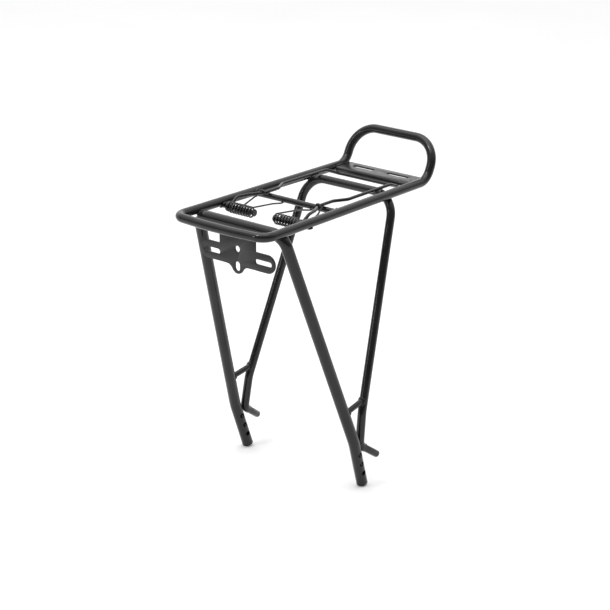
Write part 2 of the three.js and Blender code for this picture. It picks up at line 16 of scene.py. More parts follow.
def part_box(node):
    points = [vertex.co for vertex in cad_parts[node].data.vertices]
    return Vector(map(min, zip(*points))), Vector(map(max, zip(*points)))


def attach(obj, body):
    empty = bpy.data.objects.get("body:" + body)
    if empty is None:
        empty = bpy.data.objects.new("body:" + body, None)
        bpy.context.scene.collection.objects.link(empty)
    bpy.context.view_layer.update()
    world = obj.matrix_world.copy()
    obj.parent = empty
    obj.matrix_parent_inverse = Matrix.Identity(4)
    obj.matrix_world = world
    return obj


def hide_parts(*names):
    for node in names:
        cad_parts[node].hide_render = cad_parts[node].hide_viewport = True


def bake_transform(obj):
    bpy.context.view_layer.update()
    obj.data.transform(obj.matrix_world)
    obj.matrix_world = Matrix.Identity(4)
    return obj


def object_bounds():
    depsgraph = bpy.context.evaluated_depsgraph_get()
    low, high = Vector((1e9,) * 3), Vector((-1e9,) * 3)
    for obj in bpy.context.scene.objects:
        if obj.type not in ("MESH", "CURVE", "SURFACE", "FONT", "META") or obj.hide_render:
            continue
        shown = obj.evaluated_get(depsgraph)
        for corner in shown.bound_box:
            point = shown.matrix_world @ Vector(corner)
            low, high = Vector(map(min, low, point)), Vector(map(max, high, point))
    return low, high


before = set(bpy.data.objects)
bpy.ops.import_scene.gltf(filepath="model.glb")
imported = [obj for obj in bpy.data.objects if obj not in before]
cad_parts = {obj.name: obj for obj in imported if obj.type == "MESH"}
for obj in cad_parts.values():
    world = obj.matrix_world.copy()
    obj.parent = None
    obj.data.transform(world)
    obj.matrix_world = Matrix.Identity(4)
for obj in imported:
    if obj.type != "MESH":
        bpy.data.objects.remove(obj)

cad_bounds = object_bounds()

# ------------------------------------------------------------------ sizes, as in the CAD

MM = 0.001

RAIL_RADIUS = 5.5
RAIL_REAR_HALF_WIDTH = 68.6
RAIL_FRONT_HALF_WIDTH = 63.4
RAIL_LENGTH = 306.0
REAR_BULGE = 4.0
REAR_BULGE_HALF_WIDTH = 22.0
REAR_BULGE_RADIUS = 120.0
REAR_CORNER_RADIUS = 15
HOOP_BASE_RADIUS = 21.0
HOOP_SLOPE = math.radians(64)
HOOP_HEIGHT = 45
HOOP_CORNER_RADIUS = 33

REAR_LEG_RADIUS = 6.9
REAR_LEG_WALL = 1.2
REAR_LEG_TOP = (38.8, 64.6, -5.4)
REAR_LEG_KNEE = (130.7, 95.5, -280.0)
REAR_LEG_FOOT = (149.6, 92.75, -336.9)
REAR_LEG_SHOULDER_RADIUS = 18.0
REAR_LEG_KNEE_RADIUS = 60.0
FOOT_HOLE_RADIUS = 3.25
FOOT_HOLE_PITCH = 14.0
FOOT_HOLE_COUNT = 3
LAST_HOLE_FROM_END = 15.7
FOOT_BORE_DEPTH = 62.0

FRONT_LEG_RADIUS = 5.3
FRONT_LEG_TOP = (238.0, 66.6, -2.4)
FRONT_LEG_KNEE = (151.5, 90.6, -247.0)
FRONT_LEG_END = (145.0, 92.6, -287.8)
FRONT_LEG_SHOULDER_RADIUS = 30.0
FRONT_LEG_KNEE_RADIUS = 60.0
FRONT_LEG_TAIL = 9.0
FRONT_LEG_TAIL_RADIUS = 10.0

PEG_RADIUS = 4.5
PEG_ROUND = 1.8
PEG_TIP = (173.8, 96.6, -308.0)
BRACE_RADIUS = 3.5
BRACE_REAR_HEIGHT = -240.0
BRACE_FRONT_HEIGHT = -233.0
CROSSBAR_RADIUS = 3.6
CROSSBAR_X = 137.5
CROSSBAR_Z = -1.2

PLATE_THICKNESS = 2.0
PLATE_TOP_Z = 2.0
PLATE_REAR_X = 279.5
PLATE_FRONT_X = 309.0
PLATE_LIP_DEPTH = 6.0
PLATE_BEND_RADIUS = 3.0
PLATE_SLOT_RADIUS = 3.25
PLATE_SLOT_INNER_Y = 10.0
PLATE_SLOT_OUTER_Y = 42.5
PLATE_SLOT_X = 297.0

BRACKET_THICKNESS = 2.0
BRACKET_BACK_X = 33.4
BRACKET_TOP_Z = -12.4
BRACKET_BLOCK_HALF_WIDTH = 27.5
BRACKET_WING_HALF_WIDTH = 57.0
BRACKET_WING_HEIGHT = 22.0
BRACKET_SLOT_Z = -41.8
BRACKET_SLOT_RADIUS = 3.0
BRACKET_SLOT_INNER_Y = 27.0
BRACKET_SLOT_OUTER_Y = 52.0
BRACKET_HOLE_RADIUS = 3.75
BRACKET_HOLE_Z = -32.8
BRACKET_TONGUE_RADIUS = 9.0
BRACKET_TONGUE_Z = -53.7
BRACKET_FILLET_RADIUS = 10.0
BRACKET_KEYHOLE_RADIUS = 3.75
BRACKET_KEYHOLE_HEIGHT = 11.5

CLIP_WIRE_RADIUS = 2.0
CLIP_AXIS_X = 81.0
CLIP_AXIS_Z = -4.0
CLIP_ARM_Z = 4.9
CLIP_ARM_CORNERS = (               # x, y, z and bend radius, from the eye forward
    (95.0, 55.0, CLIP_ARM_Z, 8.0),
    (110.0, 51.0, CLIP_ARM_Z, 12.0),
    (128.0, 42.0, CLIP_ARM_Z, 12.0),
    (154.0, 42.0, CLIP_ARM_Z, 12.0),
    (171.0, 51.0, CLIP_ARM_Z, 12.0),
    (252.0, 50.0, CLIP_ARM_Z, 20.0),
    (273.5, 47.0, -3.5, 8.0),
)
EYE_RADIUS = 6.0
EYE_BORE_RADIUS = 3.3
EYE_THICKNESS = 4.0
EYE_Y = 55.0
PIN_RADIUS = 3.0
PIN_INNER_Y = 15.0
PIN_HEAD_RADIUS = 4.4
PIN_HEAD_THICKNESS = 1.5

SPRING_WIRE_RADIUS = 1.05
SPRING_MEAN_RADIUS = 5.9
SPRING_INNER_Y = 18.5
SPRING_OUTER_Y = 50.5
SPRING_TURNS = 7.5
SPRING_BAR_Z = CROSSBAR_Z - CROSSBAR_RADIUS - SPRING_WIRE_RADIUS
SPRING_HOOK_Z = CLIP_ARM_Z + CLIP_WIRE_RADIUS + SPRING_WIRE_RADIUS
SPRING_BAR_LEG = (                 # x, y, z and bend radius, from the coil to under the cross bar
    (118.0, 19.5, -2.0, 14.0),
    (135.5, 21.8, SPRING_BAR_Z, 8.0),
    (142.5, 23.0, SPRING_BAR_Z, 3.0),
    (147.0, 23.5, SPRING_BAR_Z + 1.4, 0.0),
)
SPRING_HOOK_LEG = (                # from the coil to its hook over the clip's arm
    (100.0, 50.0, -6.0, 10.0),
    (116.0, 50.5, -1.5, 8.0),
    (125.0, 48.0, 3.2, 2.5),
    (126.0, 45.4, SPRING_HOOK_Z, 1.6),
    (126.0, 41.0, SPRING_HOOK_Z - 0.2, 1.6),
    (126.0, 39.4, SPRING_HOOK_Z - 3.4, 0.0),
)

PLUG_THICKNESS = 2.5
PLUG_ROUND = 1.1

# sizes that only the looks need
WELD_RADIUS = 1.25
WELD_STAND_OFF = 0.35
WELD_POINTS = 44
EDGE_ROUND = 0.3
PLUG_STEM_LENGTH = 9.0
PLUG_STEM_TAPER_START = 8.2
PLUG_STEM_TAPER = 0.6
PLUG_STEM_CLEARANCE = 0.1
PLUG_SEAT = 0.05
PLUG_HEAD_EASE = 0.2
PLUG_HEAD_EASE_END = 0.25
PIN_HEAD_EASE = 0.3
PIN_HEAD_ROUND = 0.8
EYE_ROUND = 0.7
COIL_STEPS_PER_TURN = 40
CROWN_SHARE = 0.3                  # how much of a turned end is quite flat
PEG_RIM = 0.35
PEG_SEAT = 2.0
PLATE_WELD_SPANS = ((282.5, 292.0), (299.0, 307.5))
PLATE_WELD_OVERLAP = 0.2
BRACKET_WELD_INNER_Y = 11.0
BRACKET_WELD_OUTER_Y = 25.0
BRACKET_WELD_RAISE = 0.4
BRACKET_WELD_RADIUS = 1.5
REAR_LEG_WELD_REACH = 11.0         # how far out from a joint its bead is looked for
FRONT_LEG_WELD_REACH = 10.0
LEGS_WELD_REACH = 13.0
ROD_WELD_REACH = 8.0               # beyond the rod's own radius
PIN_WELD_INNER_Y = 58.0
WELD_SIDES = 14
WELD_SPACING = 0.5
WELD_SEARCH_STEP = 0.15
WELD_SEARCH_ROUNDS = 12
WELD_LUMPS = 0.12                  # share of the thickness that varies at random
WELD_RIPPLE = 0.16                 # and that rises and falls
WELD_RIPPLE_PACE = 0.9
WELD_TIP = 0.45                    # an open bead's thickness at its very end
WELD_TIP_RISE = 0.2
TUBE_SIDES = 40
WIRE_SIDES = 20
STATION_SPACING = 14.0
BEND_STEP = math.radians(4)
ARC_STEPS = 10
SMOOTH_ANGLE = math.radians(32)
SEED = 7

# ------------------------------------------------------------------ camera and room

CAMERA_TARGET = (0.0138, 0.0, 0.1407)
CAMERA_DISTANCE = 2.4012
CAMERA_HEADING = math.radians(40.28)
CAMERA_DROP = math.radians(20.33)
CAMERA_LENS = 117.2
CAMERA_SHIFT_X = -0.0009
CAMERA_SHIFT_Y = 0.0443
FLOOR_SIZE = 40.0
BRIGHT_SIDE = (0.45, 0.38, 0.81)
WORLD_STRENGTH = 1.5
WORLD_STOPS = (                    # position from the dim side to the bright side, and brightness
    (0.2, (0.06, 0.06, 0.06)),
    (0.55, (0.22, 0.22, 0.22)),
    (0.78, (0.72, 0.72, 0.72)),
    (0.92, (0.95, 0.95, 0.95)),
)
FLOOR_DROP = 0.0004
LIGHT_TARGET = (0.0, 0.0, 0.2)
SOFTBOXES = (                      # name, place, width and height, and power
    ("overhead", (-0.2, 0.2, 2.6), (2.4, 2.4), 30),
    ("rear_left_strip", (-2.4, 0.9, 1.3), (0.16, 1.2), 10),
    ("high_lamp", (-1.1, 0.3, 2.3), (0.3, 0.3), 7),
)

SIDES = (("left", 1), ("right", -1))


def mix(a, b, share):
    return a + (b - a) * share


def middle_hole_share():
    """How far from the foot towards the knee the middle bolt hole is, as a share of that stretch."""
    span = (Vector(REAR_LEG_KNEE) - Vector(REAR_LEG_FOOT)).length
    return (LAST_HOLE_FROM_END + FOOT_HOLE_PITCH) / span


ORIGIN_X = mix(REAR_LEG_FOOT[0], REAR_LEG_KNEE[0], middle_hole_share())
ORIGIN_Z = mix(REAR_LEG_FOOT[2], REAR_LEG_KNEE[2], middle_hole_share())


def place(x, y, z):
    """A CAD place, in metres in the rack's frame."""
    return Vector(((x - ORIGIN_X) * MM, y * MM, (z - ORIGIN_Z) * MM))


def on_side(spot, sign):
    return place(spot[0], sign * spot[1], spot[2])


def rail_half_width(x):
    return mix(RAIL_REAR_HALF_WIDTH, RAIL_FRONT_HALF_WIDTH, x / RAIL_LENGTH)


# ------------------------------------------------------------------ bent paths


def add_bend(path, before, corner, after, radius):
    """Adds the points of a round bend at a corner to a path."""
    incoming = (corner - before).normalized()
    outgoing = (after - corner).normalized()
    turn = incoming.angle(outgoing)
    setback = radius * math.tan(turn / 2)
    start = corner - incoming * setback
    axis = incoming.cross(outgoing).normalized()
    centre = start + axis.cross(incoming) * radius
    steps = max(3, math.ceil(turn / BEND_STEP))
    for i in range(steps + 1):
        arm = Quaternion(axis, turn * i / steps) @ (start - centre)
        path.append(centre + arm)


def fill_straights(points, closed):
    """Adds points along the long straight stretches, so that the faces stay well shaped."""
    filled = []
    count = len(points)
    for i in range(count if closed else count - 1):
        start = points[i]
        end = points[(i + 1) % count]
        pieces = max(1, round((end - start).length / (STATION_SPACING * MM)))
        for j in range(pieces):
            filled.append(start.lerp(end, j / pieces))
    if not closed:
        filled.append(points[-1])
    return filled


def bent_path(corners, radii):
    """The points of an open path with straight stretches and round bends. Radii are in millimetres."""
    path = [corners[0]]
    for i, radius in enumerate(radii, start=1):
        if radius > 0:
            add_bend(path, corners[i - 1], corners[i], corners[i + 1], radius * MM)
        else:
            path.append(corners[i])
    path.append(corners[-1])
    return fill_straights(path, closed=False)


def closed_path(corners, radii):
    path = []
    count = len(corners)
    for i, radius in enumerate(radii):
        add_bend(path, corners[i - 1], corners[i], corners[(i + 1) % count], radius * MM)
    return fill_straights(path, closed=True)


def tangents(points, closed):
    count = len(points)
    result = []
    for i in range(count):
        before = points[i - 1] if closed or i > 0 else points[0]
        after = points[(i + 1) % count] if closed or i < count - 1 else points[-1]
        result.append((after - before).normalized())
    return result


def turning_frames(points, closed):
    """A side direction at each point of a path that turns with the path and never twists about it."""
    along = tangents(points, closed)
    side = along[0].orthogonal().normalized()
    sides = [side]
    for i in range(1, len(points)):
        side = along[i - 1].rotation_difference(along[i]) @ side
        side = (side - along[i] * side.dot(along[i])).normalized()
        sides.append(side)
    if closed:
        last = along[-1].rotation_difference(along[0]) @ sides[-1]
        twist = math.atan2(along[0].dot(sides[0].cross(last)), sides[0].dot(last))
        for i in range(len(points)):
            untwist = Quaternion(along[i], -twist * i / len(points))
            sides[i] = untwist @ sides[i]
    return along, sides


# ------------------------------------------------------------------ mesh helpers


def new_object(name, vertices, faces, material):
    mesh = bpy.data.meshes.new(name)
    mesh.from_pydata([tuple(v) for v in vertices], [], faces)
    mesh.validate()
    obj = bpy.data.objects.new(name, mesh)
    bpy.context.scene.collection.objects.link(obj)
    obj.data.materials.append(material)
    finish_mesh(obj)
    return obj


def finish_mesh(obj):
    """Outward faces, smooth shading and sharp edges only where the surface really turns."""
    work = bmesh.new()
    work.from_mesh(obj.data)
    bmesh.ops.recalc_face_normals(work, faces=work.faces)
    work.to_mesh(obj.data)
    work.free()
    obj.data.shade_smooth()
    obj.data.set_sharp_from_angle(angle=SMOOTH_ANGLE)


def sweep(name, points, radius, sides, material, closed=False, radius_at=None):
    """A round bar along a path. radius_at(i, angle) gives a factor on the radius, where it varies."""
    along, side_directions = turning_frames(points, closed)
    vertices = []
    for i, point in enumerate(points):
        side = side_directions[i]
        up = along[i].cross(side)
        for k in range(sides):
            angle = 2 * math.pi * k / sides
            factor = radius_at(i, angle) if radius_at else 1.0
            arm = (side * math.cos(angle) + up * math.sin(angle)) * (radius * MM * factor)
            vertices.append(point + arm)
    return new_object(name, vertices, tube_faces(len(points), sides, closed), material)


def tube_faces(rings, sides, closed):
    faces = []
    for i in range(rings if closed else rings - 1):
        following = (i + 1) % rings
        for k in range(sides):
            after = (k + 1) % sides
            faces.append((i * sides + k, i * sides + after, following * sides + after, following * sides + k))
    if not closed:
        faces.append(tuple(range(sides)))
        faces.append(tuple((rings - 1) * sides + k for k in range(sides)))
    return faces


def turned(name, profile, start, direction, sides, material):
    """A solid turned round a line. The profile gives radius and distance along it, from axis to axis."""
    side = direction.orthogonal().normalized()
    up = direction.cross(side)
    vertices = [start + direction * (profile[0][1] * MM)]
    for radius, distance in profile[1:-1]:
        for k in range(sides):
            angle = 2 * math.pi * k / sides
            arm = (side * math.cos(angle) + up * math.sin(angle)) * (radius * MM)
            vertices.append(start + direction * (distance * MM) + arm)
    vertices.append(start + direction * (profile[-1][1] * MM))
    rings = len(profile) - 2
    faces = []
    last = len(vertices) - 1
    for k in range(sides):
        after = (k + 1) % sides
        faces.append((0, 1 + k, 1 + after))
        faces.append((last, 1 + (rings - 1) * sides + after, 1 + (rings - 1) * sides + k))
        for i in range(rings - 1):
            low = 1 + i * sides
            high = low + sides
            faces.append((low + k, low + after, high + after, high + k))
    return new_object(name, vertices, faces, material)


def round_edge(radius, distance, edge, rising):
    """Profile points round a turned solid's outer edge. rising says that the edge starts the solid."""
    points = []
    for i in range(ARC_STEPS // 2 + 1):
        angle = math.pi / 2 * i / (ARC_STEPS // 2)
        if rising:
            points.append((radius - edge * (1 - math.sin(angle)), distance + edge * (1 - math.cos(angle))))
        else:
            points.append((radius - edge * (1 - math.cos(angle)), distance - edge * (1 - math.sin(angle))))
    return points


def arc(centre, radius, start, end, steps=ARC_STEPS):
    """Points of an arc in an outline, with both ends. Angles are in radians."""
    angles = [mix(start, end, i / steps) for i in range(steps + 1)]
    return [(centre[0] + radius * math.cos(a), centre[1] + radius * math.sin(a)) for a in angles]


def prism(name, outline, to_place, low, high, material):
    """A solid with a flat outline. to_place(u, v, w) gives the place of an outline point at depth w."""
    count = len(outline)
    vertices = [to_place(u, v, low) for u, v in outline]
    vertices += [to_place(u, v, high) for u, v in outline]
    faces = [tuple(range(count)), tuple(count + i for i in range(count))]
    for i in range(count):
        after = (i + 1) % count
        faces.append((i, after, count + after, count + i))
    return new_object(name, vertices, faces, material)


def apply_modifiers(obj):
    """Replaces an object's mesh with the mesh its modifiers give."""
    bpy.context.view_layer.update()
    graph = bpy.context.evaluated_depsgraph_get()
    mesh = bpy.data.meshes.new_from_object(obj.evaluated_get(graph))
    obj.modifiers.clear()
    old = obj.data
    obj.data = mesh
    bpy.data.meshes.remove(old)
    return obj


def cut_away(obj, cutters):
    """Cuts the cutters' shapes out of an object and deletes the cutters."""
    for cutter in cutters:
        modifier = obj.modifiers.new("cut", "BOOLEAN")
        modifier.operation = "DIFFERENCE"
        modifier.solver = "EXACT"
        modifier.object = cutter
    apply_modifiers(obj)
    for cutter in cutters:
        bpy.data.objects.remove(cutter)
    finish_mesh(obj)
    return obj


def ease_edges(obj, width, angle=math.radians(50)):
    """Rounds an object's sharp edges a little, as paint and stamping leave them."""
    modifier = obj.modifiers.new("ease", "BEVEL")
    modifier.width = width * MM
    modifier.segments = 2
    modifier.limit_method = "ANGLE"
    modifier.angle_limit = angle
    modifier.use_clamp_overlap = True
    apply_modifiers(obj)
    finish_mesh(obj)
    return obj


def fit(obj, body, slot, *nodes):
    """Attaches a finished piece to its body and hides the CAD parts that it replaces; slot is not used."""
    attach(obj, body)
    if nodes:
        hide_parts(*nodes)
    return obj


# ------------------------------------------------------------------ materials


def add_node(tree, kind, **inputs):
    node = tree.nodes.new(kind)
    for name, value in inputs.items():
        node.inputs[name].default_value = value
    return node


def noise(tree, coordinates, scale, detail, roughness=0.5):
    node = add_node(tree, "ShaderNodeTexNoise", Scale=scale, Detail=detail, Roughness=roughness)
    tree.links.new(coordinates, node.inputs["Vector"])
    return node.outputs["Fac"]


def ramp(tree, value, stops):
    """A colour ramp from (position, grey or colour) stops."""
    node = tree.nodes.new("ShaderNodeValToRGB")
    elements = node.color_ramp.elements
    for i, (position, colour) in enumerate(stops):
        element = elements[i] if i < 2 else elements.new(position)
        element.position = position
        element.color = (*colour, 1.0)
    tree.links.new(value, node.inputs["Fac"])
    return node.outputs["Color"]


def spread(tree, value, low, high):
    """Maps noise, which mostly lies between 0.3 and 0.7, to a range."""
    node = add_node(tree, "ShaderNodeMapRange")
    node.inputs["From Min"].default_value = 0.3
    node.inputs["From Max"].default_value = 0.7
    node.inputs["To Min"].default_value = low
    node.inputs["To Max"].default_value = high
    tree.links.new(value, node.inputs["Value"])
    return node.outputs["Result"]


def bump(tree, height, strength, distance, normal=None):
    node = add_node(tree, "ShaderNodeBump", Strength=strength, Distance=distance)
    tree.links.new(height, node.inputs["Height"])
    if normal:
        tree.links.new(normal, node.inputs["Normal"])
    return node.outputs["Normal"]


def mixed(tree, share, first, second):
    """Two colours mixed by a share that varies over the surface."""
    node = tree.nodes.new("ShaderNodeMix")
    node.data_type = "RGBA"
    tree.links.new(share, node.inputs["Factor"])
    for socket, colour in ((node.inputs["A"], first), (node.inputs["B"], second)):
        if isinstance(colour, bpy.types.NodeSocket):
            tree.links.new(colour, socket)
        else:
            socket.default_value = (*colour, 1.0)
    return node.outputs["Result"]


def new_material(name, metallic, coat):
    material = bpy.data.materials.new(name)
    material.use_nodes = True
    tree = material.node_tree
    shader = tree.nodes["Principled BSDF"]
    shader.inputs["Metallic"].default_value = metallic
    shader.inputs["Coat Weight"].default_value = coat
    shader.inputs["Coat Roughness"].default_value = 0.08
    coordinates = tree.nodes.new("ShaderNodeTexCoord").outputs["Object"]
    return material, tree, shader, coordinates


def upward_share(tree):
    """How far a surface faces up, from 0 at upright to 1 at level."""
    geometry = tree.nodes.new("ShaderNodeNewGeometry")
    split = tree.nodes.new("ShaderNodeSeparateXYZ")
    tree.links.new(geometry.outputs["Normal"], split.inputs["Vector"])
    node = add_node(tree, "ShaderNodeMapRange")
    node.inputs["From Min"].default_value = 0.2
    node.inputs["From Max"].default_value = 1.0
    tree.links.new(split.outputs["Z"], node.inputs["Value"])
    return node.outputs["Result"]


def product(tree, first, second):
    node = tree.nodes.new("ShaderNodeMath")
    node.operation = "MULTIPLY"
    tree.links.new(first, node.inputs[0])
    tree.links.new(second, node.inputs[1])
    return node.outputs["Value"]


def powder_coat(name, dark, light, roughness, peel):
    """Gloss black powder coat: slow changes of tone, orange peel, and fine dust on what faces up."""
    material, tree, shader, coordinates = new_material(name, 0.0, 0.12)
    shader.inputs["IOR"].default_value = 1.38
    tone = ramp(tree, noise(tree, coordinates, 38.0, 4.0), ((0.3, dark), (0.7, light)))
    speck = ramp(tree, noise(tree, coordinates, 2600.0, 2.0), ((0.6, (0, 0, 0)), (0.74, (1, 1, 1))))
    dust_share = product(tree, upward_share(tree), speck)
    dust_colour = tuple(6 * c for c in light)
    tree.links.new(mixed(tree, dust_share, tone, dust_colour), shader.inputs["Base Color"])
    blotches = noise(tree, coordinates, 90.0, 3.0)
    tree.links.new(spread(tree, blotches, *roughness), shader.inputs["Roughness"])
    coarse = bump(tree, noise(tree, coordinates, 420.0, 2.0), peel, 0.00012)
    fine = bump(tree, noise(tree, coordinates, 1500.0, 1.0), peel * 0.6, 0.00003, coarse)
    tree.links.new(fine, shader.inputs["Normal"])
    return material


def spring_steel(name):
    """Black oiled spring wire: dark, bright where it catches the light, with faint drawing marks."""
    material, tree, shader, coordinates = new_material(name, 0.55, 0.35)
    film = noise(tree, coordinates, 240.0, 4.0)
    tone = ramp(tree, film, ((0.3, (0.008, 0.008, 0.009)), (0.72, (0.034, 0.033, 0.034))))
    tree.links.new(tone, shader.inputs["Base Color"])
    tree.links.new(spread(tree, noise(tree, coordinates, 700.0, 3.0), 0.12, 0.3), shader.inputs["Roughness"])
    marks = noise(tree, coordinates, 3000.0, 2.0)
    tree.links.new(bump(tree, marks, 0.16, 0.00002), shader.inputs["Normal"])
    return material


def moulded_plastic(name):
    """Satin black plastic with a fine spark-eroded grain and a little scuffing."""
    material, tree, shader, coordinates = new_material(name, 0.0, 0.0)
    scuff = noise(tree, coordinates, 320.0, 6.0, 0.7)
    tone = ramp(tree, scuff, ((0.35, (0.010, 0.010, 0.011)), (0.75, (0.034, 0.033, 0.033))))
    tree.links.new(tone, shader.inputs["Base Color"])
    tree.links.new(spread(tree, scuff, 0.42, 0.62), shader.inputs["Roughness"])
    grain = noise(tree, coordinates, 2200.0, 2.0)
    tree.links.new(bump(tree, grain, 0.35, 0.00004), shader.inputs["Normal"])
    return material


def floor_paint(name):
    """A plain pale studio floor."""
    material, tree, shader, coordinates = new_material(name, 0.0, 0.0)
    stops = ((0.3, (0.86, 0.86, 0.86)), (0.7, (0.88, 0.88, 0.88)))
    tone = ramp(tree, noise(tree, coordinates, 3.0, 2.0), stops)
    tree.links.new(tone, shader.inputs["Base Color"])
    shader.inputs["Roughness"].default_value = 0.9
    shader.inputs["Specular IOR Level"].default_value = 0.1
    return material


TUBE_PAINT = powder_coat("tube_powder_coat", (0.006, 0.006, 0.0065), (0.013, 0.0127, 0.013), (0.12, 0.2), 0.2)
PLATE_PAINT = powder_coat(
    "plate_powder_coat", (0.009, 0.009, 0.0095), (0.015, 0.0148, 0.015), (0.28, 0.4), 0.28
)
WELD_PAINT = powder_coat(
    "weld_powder_coat", (0.005, 0.005, 0.0055), (0.012, 0.012, 0.012), (0.12, 0.24), 0.45
)
CLIP_PAINT = powder_coat(
    "clip_powder_coat", (0.005, 0.005, 0.0055), (0.011, 0.011, 0.011), (0.11, 0.19), 0.16
)
SPRING_STEEL = spring_steel("oiled_spring_steel")
PLUG_PLASTIC = moulded_plastic("plug_plastic")

# ------------------------------------------------------------------ the paths of the tubes


def platform_path():
    """The closed loop of the rear bar, the rails and the raised hoop."""
    run = HOOP_HEIGHT / math.tan(HOOP_SLOPE)
    half = (
        (0.0, REAR_BULGE_HALF_WIDTH, 0.0, REAR_BULGE_RADIUS),
        (REAR_BULGE, RAIL_REAR_HALF_WIDTH, 0.0, REAR_CORNER_RADIUS),
        (RAIL_LENGTH, RAIL_FRONT_HALF_WIDTH, 0.0, HOOP_BASE_RADIUS),
        (RAIL_LENGTH + run, RAIL_FRONT_HALF_WIDTH, HOOP_HEIGHT, HOOP_CORNER_RADIUS),
    )
    loop = [(corner, 1) for corner in half] + [(corner, -1) for corner in reversed(half)]
    corners = [on_side(corner, sign) for corner, sign in loop]
    return closed_path(corners, [corner[3] for corner, sign in loop])


def mirrored_path(side_corners, side_radii):
    """An inverted U from its left end, over the mid-plane, to its right end."""
    left = [on_side(corner, 1) for corner in side_corners]
    right = [on_side(corner, -1) for corner in reversed(side_corners)]
    return bent_path(left + right, side_radii + side_radii[::-1])


def rear_leg_path():
    corners = [REAR_LEG_FOOT, REAR_LEG_KNEE, REAR_LEG_TOP]
    return mirrored_path(corners, [REAR_LEG_KNEE_RADIUS, REAR_LEG_SHOULDER_RADIUS])


def front_leg_tail():
    end = Vector(FRONT_LEG_END)
    return end + (Vector(PEG_TIP) - end).normalized() * FRONT_LEG_TAIL


def front_leg_path():
    corners = [front_leg_tail(), FRONT_LEG_END, FRONT_LEG_KNEE, FRONT_LEG_TOP]
    radii = [FRONT_LEG_TAIL_RADIUS, FRONT_LEG_KNEE_RADIUS, FRONT_LEG_SHOULDER_RADIUS]
    return mirrored_path(corners, radii)


def clip_path():
    radii = [corner[3] for corner in CLIP_ARM_CORNERS]
    left = [eye_rim_point(1)] + [on_side(corner, 1) for corner in CLIP_ARM_CORNERS]
    right = [on_side(corner, -1) for corner in reversed(CLIP_ARM_CORNERS)] + [eye_rim_point(-1)]
    return bent_path(left + right, radii + radii[::-1])


def eye_rim_point(sign):
    """Where the arm's wire meets the eye, between its bore and its rim."""
    first = CLIP_ARM_CORNERS[0]
    centre = place(CLIP_AXIS_X, sign * EYE_Y, CLIP_AXIS_Z)
    towards = (on_side(first, sign) - centre).normalized()
    return centre + towards * ((EYE_RADIUS + EYE_BORE_RADIUS) / 2 * MM)


def point_at_height(start, end, height):
    """The CAD place at a height on the line between two CAD places."""
    share = (height - start[2]) / (end[2] - start[2])
    return Vector(start).lerp(Vector(end), share)


# ------------------------------------------------------------------ frame pieces


def platform_tube():
    tube = sweep("platform_tube_painted", PLATFORM_PATH, RAIL_RADIUS, TUBE_SIDES, TUBE_PAINT, closed=True)
    return fit(tube, "frame", "black_paint", "platform_tube")


def foot_line(sign):
    """A foot's end and the direction from there up the leg."""
    foot = on_side(REAR_LEG_FOOT, sign)
    return foot, (on_side(REAR_LEG_KNEE, sign) - foot).normalized()


def foot_cutters(sign):
    """The foot's bore and its bolt holes."""
    foot, up = foot_line(sign)
    bore_path = [foot - up * MM, foot + up * FOOT_BORE_DEPTH * MM]
    cutters = [sweep("bore", bore_path, REAR_LEG_RADIUS - REAR_LEG_WALL, TUBE_SIDES, TUBE_PAINT)]
    reach = Vector((0, 2 * REAR_LEG_RADIUS * MM, 0))
    for i in range(FOOT_HOLE_COUNT):
        centre = foot + up * ((LAST_HOLE_FROM_END + i * FOOT_HOLE_PITCH) * MM)
        hole_path = [centre - reach, centre + reach]
        cutters.append(sweep("hole", hole_path, FOOT_HOLE_RADIUS, TUBE_SIDES, TUBE_PAINT))
    return cutters


def rear_leg_tube():
    tube = sweep("rear_leg_tube_painted", REAR_LEG_PATH, REAR_LEG_RADIUS, TUBE_SIDES, TUBE_PAINT)
    cut_away(tube, foot_cutters(1) + foot_cutters(-1))
    return fit(tube, "frame", "black_paint", "rear_leg_tube")


def front_leg_tube():
    tube = sweep("front_leg_tube_painted", FRONT_LEG_PATH, FRONT_LEG_RADIUS, TUBE_SIDES, TUBE_PAINT)
    return fit(tube, "frame", "black_paint", "front_leg_tube")


def crossbar_ends():
    reach = rail_half_width(CROSSBAR_X) - RAIL_RADIUS / 2
    return place(CROSSBAR_X, -reach, CROSSBAR_Z), place(CROSSBAR_X, reach, CROSSBAR_Z)


def middle_crossbar():
    points = fill_straights(list(crossbar_ends()), closed=False)
    tube = sweep("middle_crossbar_painted", points, CROSSBAR_RADIUS, TUBE_SIDES, TUBE_PAINT)
    return fit(tube, "frame", "black_paint", "middle_crossbar")


def brace_ends(sign):
    """Where a brace's centre line meets the centre lines of the rear and front legs."""
    rear = point_at_height(REAR_LEG_KNEE, REAR_LEG_TOP, BRACE_REAR_HEIGHT)
    front = point_at_height(FRONT_LEG_KNEE, FRONT_LEG_TOP, BRACE_FRONT_HEIGHT)
    return on_side(rear, sign), on_side(front, sign)


def lower_brace(side, sign):
    points = fill_straights(list(brace_ends(sign)), closed=False)
    rod = sweep(f"{side}_lower_brace_painted", points, BRACE_RADIUS, TUBE_SIDES, TUBE_PAINT)
    return fit(rod, "frame", "black_paint", f"{side}_lower_brace")


def strap_peg(side, sign):
    """The peg that carries on from the front leg's tail, with its pressed rim and rounded tip."""
    start = on_side(front_leg_tail(), sign)
    tip = on_side(PEG_TIP, sign)
    length = (tip - start).length / MM
    profile = [(0, -PEG_SEAT), (PEG_RADIUS - PEG_RIM, -PEG_SEAT)]
    profile += round_edge(PEG_RADIUS, 0.0, PEG_RIM, rising=True)
    profile += round_edge(PEG_RADIUS, length, PEG_ROUND, rising=False)
    profile += [(PEG_RADIUS * CROWN_SHARE, length), (0, length)]
    along = (tip - start).normalized()
    peg = turned(f"{side}_strap_peg_painted", profile, start, along, TUBE_SIDES, TUBE_PAINT)
    return fit(peg, "frame", "black_paint", f"{side}_strap_peg")


